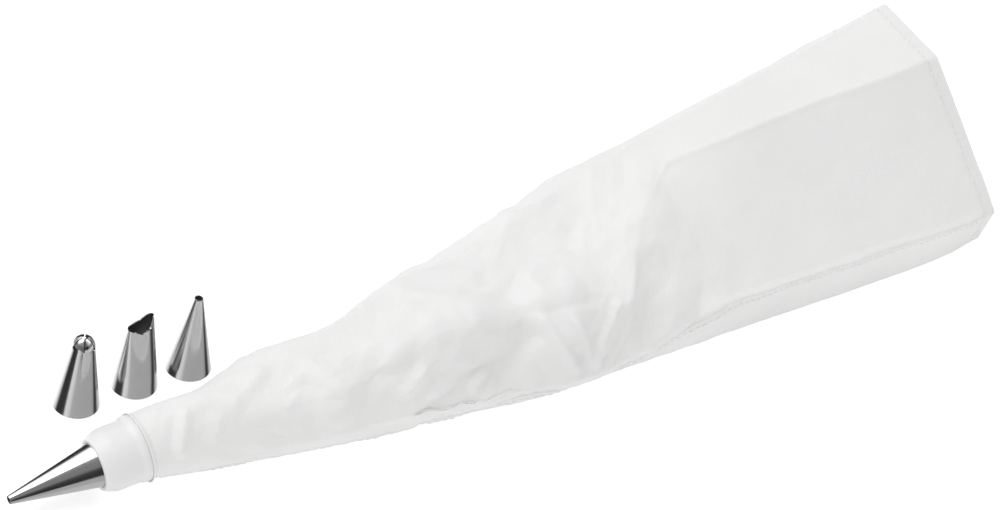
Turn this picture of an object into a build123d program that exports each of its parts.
from build123d import *
import math
import os

# A cotton piping bag lying on a bench, with a two-part coupler, a fitted nozzle and three
# spare nozzles standing on their bases beside it.
# Millimetres. The bench is z = 0. The nozzle points to -X and the bag's mouth opens to +X.
# "Near" is -Y and "far" is +Y. Tables use bench coordinates, which start at the coupler:
# subtract FRAME_X and FRAME_Y to get model coordinates.

os.makedirs("parts", exist_ok=True)

FRAME_X = 300.0
FRAME_Y = 30.0


def save(part, name):
    part.label = name
    export_step(part, f"parts/{name}.step")


# ------------------------------------------------------------------ bag dimensions
WALL = 0.8               # coated cotton
GAP = 0.12               # clear gap between sewn layers
HEM_W = 6.0              # width of the turned hem
HEM_T = 0.7
SEAM_W = 4.6             # width of the folded seam allowance
SEAM_T = 0.7
SEAM_GAP = 0.50          # the folded seam stands a little clear of the panel
SEAM_START = 0.2         # the strip begins this far from the seam line
SEAM_X_ENDS = (24, 393.5)
SEAM_X_LIMITS = (26, 391)     # the sections between the ends fall inside these
THREAD_W = 0.6
THREAD_T = 0.3
HEM_THREAD_INSET = 1.0   # from the hem's inner edge
SEAM_THREAD_INSET = 1.6  # from the seam allowance's free edge
SEAM_THREAD_GAP = 0.15

# bag stations: bench x, shift across, stretch across, weight of the faceted mouth shape
# (0 is fully rounded), width over height of the rounded shape
STATIONS = [
    (20, 0.00, 1.010, 0.000, 1.000), (32, -0.36, 0.952, 0.000, 1.009),
    (45, -0.75, 0.932, 0.000, 1.019), (60, -1.20, 0.957, 0.000, 1.030),
    (80, -1.20, 0.988, 0.000, 1.090), (105, -2.60, 0.915, 0.000, 1.157),
    (130, -1.40, 0.985, 0.019, 1.195), (160, -0.79, 1.054, 0.075, 1.240),
    (190, 0.73, 1.102, 0.131, 1.285), (220, 2.40, 1.114, 0.233, 1.305),
    (250, 2.19, 1.110, 0.358, 1.312), (280, 0.12, 1.091, 0.543, 1.320),
    (310, -3.22, 1.085, 0.757, 1.328), (340, -5.00, 1.070, 0.914, 1.335),
    (370, -3.98, 1.068, 0.957, 1.343), (400, 0.00, 1.000, 1.000, 1.350),
]
STATION_X = [station[0] for station in STATIONS]
FRONT_X, MOUTH_X = STATION_X[0], STATION_X[-1]

# mouth corners (across, up): near bench edge, seam corner, near top, far top, far side,
# far bench edge
MOUTH = [(-6.7, 0.0), (-16.0, 24.5), (24.1, 79.2), (59.6, 79.7), (89.0, 41.0), (96.0, 0.0)]

# the tables below are (bench x, value)
TOP_Z = [(20, 27), (32, 29.5), (45, 32), (60, 34.5), (90, 39.5), (120, 44.5), (150, 49),
         (200, 55.5), (250, 61.5), (300, 67.5), (350, 73.5), (400, 79.2)]
MOUTH_TOP = TOP_Z[-1][1]
FLOOR_Z = [(20, 2.65), (32, 1.6), (45, 0.5), (60, -0.5)]  # below 0 where the bag lies flat
ROUND_POWER = [(20, 1.0), (120, 0.95), (260, 0.9)]        # 1 is an ellipse, less is squarer
# seam line, as a fraction of the way round the outline
SEAM_ROUTE = [(20, 0.050), (60, 0.055), (100, 0.070), (140, 0.100), (180, 0.138),
              (215, 0.1655), (258, 0.1667), (310, 0.1667), (400, 0.1667)]

OUTLINE_POINTS = 48
START_ANGLE = 240        # degrees, lower near side; the outline runs clockwise from here
LOWEST_Z = -0.22         # outlines dip at most this far below the bench
FACET_DROP = 1.2         # the faceted shape is lowered by this times its weight
INSIDE_FLOOR_GAP = 0.06  # least height of an inward offset above its own depth
CORNER_SPREAD = 0.03     # reach of the corner smoothing, as a fraction of the outline
CORNER_FALLOFF = 1.6
CORNER_SAMPLES = 9


# ------------------------------------------------------------------ bag outlines
def lerp(start, end, t):
    return start + (end - start) * t


def lerp_point(start, end, t):
    return (lerp(start[0], end[0], t), lerp(start[1], end[1], t))


def clamp01(t):
    return min(max(t, 0.0), 1.0)


def lerp_table(x, table):
    if x <= table[0][0]:
        return table[0][1]
    for (x0, value0), (x1, value1) in zip(table, table[1:]):
        if x <= x1:
            return lerp(value0, value1, (x - x0) / (x1 - x0))
    return table[-1][1]


def mouth_pull(x):
    """Ease from 0 to 1 over the last 50 mm, where sections lean more steeply."""
    t = clamp01((x - 350.0) / 50.0)
    return t * t * (3 - 2 * t)


def lean(x):
    """Slope of a section: how far its top leans to -X per unit of height."""
    return 0.158 + 0.067 * clamp01((x - 20.0) / 380.0) + 0.075 * mouth_pull(x)


def foot_x(x):
    """Bench x where a section plane meets the bench."""
    return x + 2.8 * mouth_pull(x)


def corner_path(s):
    count = len(MOUTH)
    along = (s * count) % count
    i = int(along) % count
    return lerp_point(MOUTH[i], MOUTH[(i + 1) % count], along - math.floor(along))


def soft_corner_path(s):
    """Weighted mean of nearby points on the corner path, which rounds the corners."""
    y = z = total = 0.0
    for j in range(CORNER_SAMPLES):
        t = -1.0 + 2 * j / (CORNER_SAMPLES - 1)
        weight = math.exp(-(t * CORNER_FALLOFF) ** 2)
        py, pz = corner_path((s + t * CORNER_SPREAD) % 1.0)
        y += weight * py
        z += weight * pz
        total += weight
    return (y / total, z / total)


def outline(station):
    """Outline (across, up) blended from a rounded shape and the faceted mouth shape."""
    x, shift, stretch, facet, aspect = station
    top = lerp_table(x, TOP_Z)
    low = lerp_table(x, FLOOR_Z)
    power = lerp_table(x, ROUND_POWER)
    half = (top - low) / 2.0
    scale = top / MOUTH_TOP
    points = []
    for i in range(OUTLINE_POINTS):
        s = i / OUTLINE_POINTS
        angle = math.radians(START_ANGLE - 360 * s)
        cos_a, sin_a = math.cos(angle), math.sin(angle)
        round_y = half * aspect * math.copysign(abs(cos_a) ** power, cos_a)
        round_z = low + half + half * math.copysign(abs(sin_a) ** power, sin_a)
        facet_y, facet_z = soft_corner_path(s)
        facet_z = facet_z * scale - FACET_DROP * facet
        y = shift + stretch * ((1 - facet) * round_y + facet * facet_y * scale)
        z = (1 - facet) * round_z + facet * facet_z
        points.append((y, max(z, LOWEST_Z)))
    return points


def offset_points(points, distance):
    """Move points outward, or inward when distance is negative."""
    count = len(points)
    moved = []
    for i, (y, z) in enumerate(points):
        before, after = points[i - 1], points[(i + 1) % count]
        ty, tz = after[0] - before[0], after[1] - before[1]
        length = math.hypot(ty, tz)
        # clockwise seen from the mouth, so the outward normal is (-tz, ty)
        moved.append((y - tz / length * distance, z + ty / length * distance))
    return moved


def section_at(x):
    """Outline, plane and height stretch at x, mixed so that it lies on the ruled skin."""
    i = 0
    while i < len(STATIONS) - 2 and x > STATIONS[i + 1][0]:
        i += 1
    station0, station1 = STATIONS[i], STATIONS[i + 1]
    x0, x1 = station0[0], station1[0]
    t = (x - x0) / (x1 - x0)
    points = [lerp_point(a, b, t) for a, b in zip(outline(station0), outline(station1))]
    angle = math.atan(lerp(lean(x0), lean(x1), t))
    plane = Plane(origin=(lerp(foot_x(x0), foot_x(x1), t) - FRAME_X, -FRAME_Y, 0),
                  x_dir=(0, 1, 0), z_dir=(math.cos(angle), 0, math.sin(angle)))
    # dividing heights by the cosine keeps them true on the leaning plane
    return points, plane, math.cos(angle)


def skin(section_x, offset):
    """Solid filling the bag's outline, offset outward, through the given bench x values."""
    faces = []
    for x in section_x:
        points, plane, cosine = section_at(x)
        if offset:
            points = offset_points(points, offset)
        if offset < 0:
            # the inside stays above the bench by the depth of the offset
            points = [(y, max(z, INSIDE_FLOOR_GAP - offset)) for y, z in points]
        with BuildSketch(plane) as section:
            with BuildLine():
                Spline([(y, z / cosine) for y, z in points], periodic=True)
            make_face()
        faces.append(section.sketch.faces()[0])
    return loft(faces, ruled=True)


def hollow(outer, inner, on_bench):
    """Outer less inner; on_bench first cuts away all that is below the bench."""
    with BuildPart() as shell:
        add(outer)
        if on_bench:
            with Locations((100, 0, -25)):
                Box(900, 400, 50, mode=Mode.SUBTRACT)
        add(inner, mode=Mode.SUBTRACT)
    return shell.part


# ------------------------------------------------------------------ bag panel
# the inside runs past both ends so that they are cut open
panel_outer = skin(STATION_X, 0.0)
panel_inner = skin([FRONT_X - 2.0] + STATION_X[1:-1] + [MOUTH_X + 1.5], -WALL)
save(hollow(panel_outer, panel_inner, on_bench=True), "bag_panel")

# ------------------------------------------------------------------ mouth hem, inside the bag
HEM_X = MOUTH_X - HEM_W
hem_outer = skin([HEM_X, MOUTH_X - 0.4], -(WALL + GAP))
hem_inner = skin([HEM_X - 1.0, MOUTH_X + 0.6], -(WALL + GAP + HEM_T))
save(hollow(hem_outer, hem_inner, on_bench=False), "mouth_hem")

# ------------------------------------------------------------------ hem stitching, outside
STITCH_X = HEM_X + HEM_THREAD_INSET
stitch_outer = skin([STITCH_X, STITCH_X + THREAD_W], GAP + THREAD_T)
stitch_inner = skin([STITCH_X - 1.0, STITCH_X + THREAD_W + 1.0], GAP)
save(hollow(stitch_outer, stitch_inner, on_bench=True), "hem_thread")

# ------------------------------------------------------------------ side seam and stitching
# a section at each station and midway to the next, between the two ends
seam_x = [SEAM_X_ENDS[0]]
for x0, x1 in zip(STATION_X[:-1], STATION_X[1:]):
    for x in (x0, (x0 + x1) / 2):
        if SEAM_X_LIMITS[0] < x < SEAM_X_LIMITS[1]:
            seam_x.append(x)
seam_x.append(SEAM_X_ENDS[1])


def walk(points, start, distance):
    """Point at a distance along the outline from start, towards the near bench edge."""
    i = int(math.floor(start))
    here = lerp_point(points[i], points[i + 1], start - i)
    while True:
        target = points[i]
        step = math.dist(here, target)
        if distance <= step:
            return lerp_point(here, target, distance / step if step > 0 else 0.0)
        distance -= step
        here = target
        i -= 1


def seam_strip(near_edge, far_edge, height, thickness):
    """Strip between two distances from the seam line, standing clear of the panel."""
    faces = []
    for x in seam_x:
        points, plane, cosine = section_at(x)
        under = offset_points(points, height)
        over = offset_points(points, height + thickness)
        start = lerp_table(x, SEAM_ROUTE) * OUTLINE_POINTS
        corners = [walk(under, start, near_edge), walk(under, start, far_edge),
                   walk(over, start, far_edge), walk(over, start, near_edge)]
        with BuildSketch(plane) as section:
            with BuildLine():
                Polyline([(y, z / cosine) for y, z in corners], close=True)
            make_face()
        faces.append(section.sketch.faces()[0])
    return loft(faces, ruled=True)


with BuildPart() as side_seam:
    add(seam_strip(SEAM_START, SEAM_W, SEAM_GAP, SEAM_T))
save(side_seam.part, "side_seam")

STITCH_EDGE = SEAM_W - SEAM_THREAD_INSET
with BuildPart() as seam_thread:
    add(seam_strip(STITCH_EDGE, STITCH_EDGE + THREAD_W,
                   SEAM_GAP + SEAM_T + SEAM_THREAD_GAP, THREAD_T))
save(seam_thread.part, "seam_thread")

# ------------------------------------------------------------------ coupler and nozzle sizes
# "along" positions are on the coupler axis, which runs into the bag from its origin
AXIS_TILT = math.radians(9.0)    # the axis climbs into the bag
AXIS_Z = 12.0                    # height of the axis origin
COUPLER = Plane(origin=(-FRAME_X, -FRAME_Y, AXIS_Z), x_dir=(0, 1, 0),
                z_dir=(math.cos(AXIS_TILT), 0, math.sin(AXIS_TILT)))

SHEET = 0.5
NOZZLE_BASE_R = 8.8
NOZZLE_TIP_R = 1.6
NOZZLE_HOLE_R = 1.1
NOZZLE_LIP = 0.6         # depth of the straight hole at the tip
NOZZLE_LEN = 36.0
NOZZLE_SEAT = 2.0        # along position of the nozzle's base edge

RING_R = 11.75
RING_FRONT = -0.6
RING_NOSE_R = 9.8
RING_LEN = 17.4          # along position of the ring's rear face
BEAD_R = 12.5
BEAD_LEN = 3.6
RING_BORE_R = 10.05
RING_CLEAR = 0.07        # ring to nozzle outside
LIP_BACK = NOZZLE_SEAT + 0.12    # rear of the lip that holds the nozzle

RIDGE_R = 9.95           # thread ridges, modelled as separate rings
CORE_R = 9.35
RIDGE_PITCH = 3.0
FIRST_RIDGE = 3.4
BASE_NOSE = -3.0
BASE_NOSE_WALL = 1.1
BASE_CLEAR = 0.12        # base to nozzle inside
BASE_SHOULDER_R = 11.25
BASE_REAR_R = 11.55
BASE_REAR = 36.0
BASE_WALL = 1.3


def turned(profile, plane):
    """Revolve a closed (radius, along) profile about the plane's normal."""
    with BuildPart() as body:
        with BuildSketch(Plane(origin=plane.origin, x_dir=plane.x_dir,
                               z_dir=plane.y_dir * -1.0)):
            with BuildLine():
                Polyline(profile, close=True)
            make_face()
        revolve(axis=Axis(plane.origin, plane.z_dir), revolution_arc=360)
    return body.part


def nozzle_r(along):
    """Outside radius of the fitted nozzle's cone, extended past its base."""
    slope = (NOZZLE_BASE_R - NOZZLE_TIP_R) / NOZZLE_LEN
    return NOZZLE_BASE_R - slope * (NOZZLE_SEAT - along)


def cone_profile(base, tip):
    """Plain round nozzle between two positions on its axis."""
    return [(NOZZLE_BASE_R, base), (NOZZLE_TIP_R, tip), (NOZZLE_HOLE_R, tip),
            (NOZZLE_HOLE_R, tip + math.copysign(NOZZLE_LIP, base - tip)),
            (NOZZLE_BASE_R - SHEET, base)]


# ------------------------------------------------------------------ coupler ring
BEAD_FRONT = RING_LEN - BEAD_LEN
seat_r = nozzle_r(NOZZLE_SEAT) + RING_CLEAR
ring_profile = [
    (nozzle_r(RING_FRONT) + RING_CLEAR, RING_FRONT), (RING_NOSE_R - 0.4, RING_FRONT),
    (RING_NOSE_R, RING_FRONT + 0.35), (10.75, 1.3), (11.45, 3.4), (RING_R, 5.0),
    (RING_R, BEAD_FRONT - 0.8), (BEAD_R - 0.15, BEAD_FRONT + 0.4),
    (BEAD_R, RING_LEN - BEAD_LEN / 2), (BEAD_R - 0.15, RING_LEN - 0.5),
    (BEAD_R - 0.6, RING_LEN), (RING_BORE_R, RING_LEN), (RING_BORE_R, LIP_BACK),
    (seat_r, LIP_BACK), (seat_r, NOZZLE_SEAT),
]
save(turned(ring_profile, COUPLER), "coupler_ring")

# ------------------------------------------------------------------ coupler base
nose_r = nozzle_r(BASE_NOSE) - SHEET - BASE_CLEAR
base_seat_r = nozzle_r(NOZZLE_SEAT) - SHEET - BASE_CLEAR
base_profile = [(nose_r - BASE_NOSE_WALL, BASE_NOSE), (nose_r, BASE_NOSE),
                (base_seat_r, NOZZLE_SEAT + 0.2), (CORE_R, NOZZLE_SEAT + 0.3)]
ridge = FIRST_RIDGE
while ridge < RING_LEN - 2.6:
    base_profile += [(CORE_R, ridge), (RIDGE_R, ridge + 0.55),
                     (RIDGE_R, ridge + 1.05), (CORE_R, ridge + 1.6)]
    ridge += RIDGE_PITCH
base_profile += [
    (CORE_R, RING_LEN + 0.3), (BASE_SHOULDER_R, RING_LEN + 0.7),
    (BASE_REAR_R, BASE_REAR - 0.4), (11.2, BASE_REAR), (BASE_REAR_R - BASE_WALL, BASE_REAR),
    (BASE_SHOULDER_R - BASE_WALL, RING_LEN + 3.0), (CORE_R - BASE_WALL, RING_LEN - 2.0),
    (nose_r - BASE_NOSE_WALL, BASE_NOSE + 4.0),
]
save(turned(base_profile, COUPLER), "coupler_base")

# ------------------------------------------------------------------ fitted nozzle
save(turned(cone_profile(NOZZLE_SEAT, NOZZLE_SEAT - NOZZLE_LEN), COUPLER), "round_nozzle")


# ------------------------------------------------------------------ spare nozzles
def bench_plane(x, y):
    return Plane(origin=(x - FRAME_X, y - FRAME_Y, 0), x_dir=(1, 0, 0), z_dir=(0, 0, 1))


STAR_PLANE = bench_plane(14.8, 41.7)
LEAF_PLANE = bench_plane(39.3, 43.0)
WRITING_PLANE = bench_plane(62.5, 44.1)
WRITING_H = 33.8

save(turned(cone_profile(0, WRITING_H), WRITING_PLANE), "writing_nozzle")

# ------------------------------------------------------------------ closed star nozzle
# a cone with a domed end, cut into teeth
STAR_H = 32.2
NECK_Z = 27.9
NECK_R = 4.3
NECK_DROP = 0.1          # the inside neck is this much lower
TEETH = 6
TEETH_TURN = 3.2         # degrees
DOME_STEP = 12.5         # degrees between dome points
DOME_STEPS = 6


def dome(radius, base_z, rise):
    """Dome points (radius, z) from just above the neck up to the open top."""
    angles = [math.radians(j * DOME_STEP) for j in range(1, DOME_STEPS + 1)]
    return [(radius * math.cos(a), base_z + rise * math.sin(a) / math.sin(angles[-1]))
            for a in angles]


star_profile = [
    (NOZZLE_BASE_R, 0), (NECK_R, NECK_Z),
    *dome(NECK_R, NECK_Z, STAR_H - NECK_Z),
    *reversed(dome(NECK_R - SHEET, NECK_Z - NECK_DROP, STAR_H - SHEET - NECK_Z)),
    (NECK_R - SHEET, NECK_Z - NECK_DROP), (NOZZLE_BASE_R - SHEET, 0),
]
star_body = turned(star_profile, STAR_PLANE)
star_x, star_y = STAR_PLANE.origin.X, STAR_PLANE.origin.Y
with BuildPart() as star_nozzle:
    add(star_body)
    for j in range(TEETH):
        turn = (0, 0, TEETH_TURN + 360 / TEETH * j)
        # radial slot, then a round hole at its foot
        with Locations(Location((star_x, star_y, 30.8), turn)):
            with Locations((2.9, 0, 0)):
                Box(5.4, 0.7, 4.8, mode=Mode.SUBTRACT)
        with Locations(Location((star_x, star_y, 28.4), turn)):
            with Locations(Location((4.0, 0, 0), (0, 90, 0))):
                Cylinder(0.85, 2.6, mode=Mode.SUBTRACT)
save(star_nozzle.part, "star_nozzle")

# ------------------------------------------------------------------ leaf nozzle
# a cone pinched to a narrow oval and cut with an uneven V: a low beak and a tall one
LEAF_H = 32.0
LEAF_MID_Z = 18.0
LEAF_TURN = math.radians(15.0)   # long axis of the oval, from +X
LEAF_DX, LEAF_DY = math.cos(LEAF_TURN), math.sin(LEAF_TURN)
LEAF_LONG_R = 5.8                # oval half-axes at the top
LEAF_SHORT_R = 2.4
LEAF_SHIFT = -0.9                # the top's shift along the long axis
# lower edge of the cut: (along the long axis, z)
LEAF_CUT = [(-7.5, 29.8), (-5.6, 29.4), (-2.8, 28.0), (1.5, 28.8), (3.2, 31.0),
            (4.6, 31.9), (7.5, 31.95)]


def leaf_skin(inset, bottom, top):
    faces = []
    for z in (bottom, LEAF_MID_Z, top):
        t = z / LEAF_H
        long_r = lerp(NOZZLE_BASE_R, LEAF_LONG_R, t) - inset
        short_r = lerp(NOZZLE_BASE_R, LEAF_SHORT_R, 0.6 * t + 0.4 * t * t) - inset
        shift = LEAF_SHIFT * t
        with BuildSketch(Plane(origin=(LEAF_PLANE.origin.X + shift * LEAF_DX,
                                       LEAF_PLANE.origin.Y + shift * LEAF_DY, z),
                               x_dir=(LEAF_DX, LEAF_DY, 0), z_dir=(0, 0, 1))) as section:
            Ellipse(long_r, short_r)
        faces.append(section.sketch.faces()[0])
    return loft(faces)


with BuildPart() as leaf_nozzle:
    add(leaf_skin(0.0, 0.0, LEAF_H))
    add(leaf_skin(SHEET, -0.5, LEAF_H + 0.5), mode=Mode.SUBTRACT)
    with BuildSketch(Plane(origin=LEAF_PLANE.origin, x_dir=(LEAF_DX, LEAF_DY, 0),
                           z_dir=(LEAF_DY, -LEAF_DX, 0))):
        with BuildLine():
            Polyline(LEAF_CUT + [(7.5, LEAF_H + 3), (-7.5, LEAF_H + 3)], close=True)
        make_face()
    extrude(amount=12, both=True, mode=Mode.SUBTRACT)
save(leaf_nozzle.part, "leaf_nozzle")
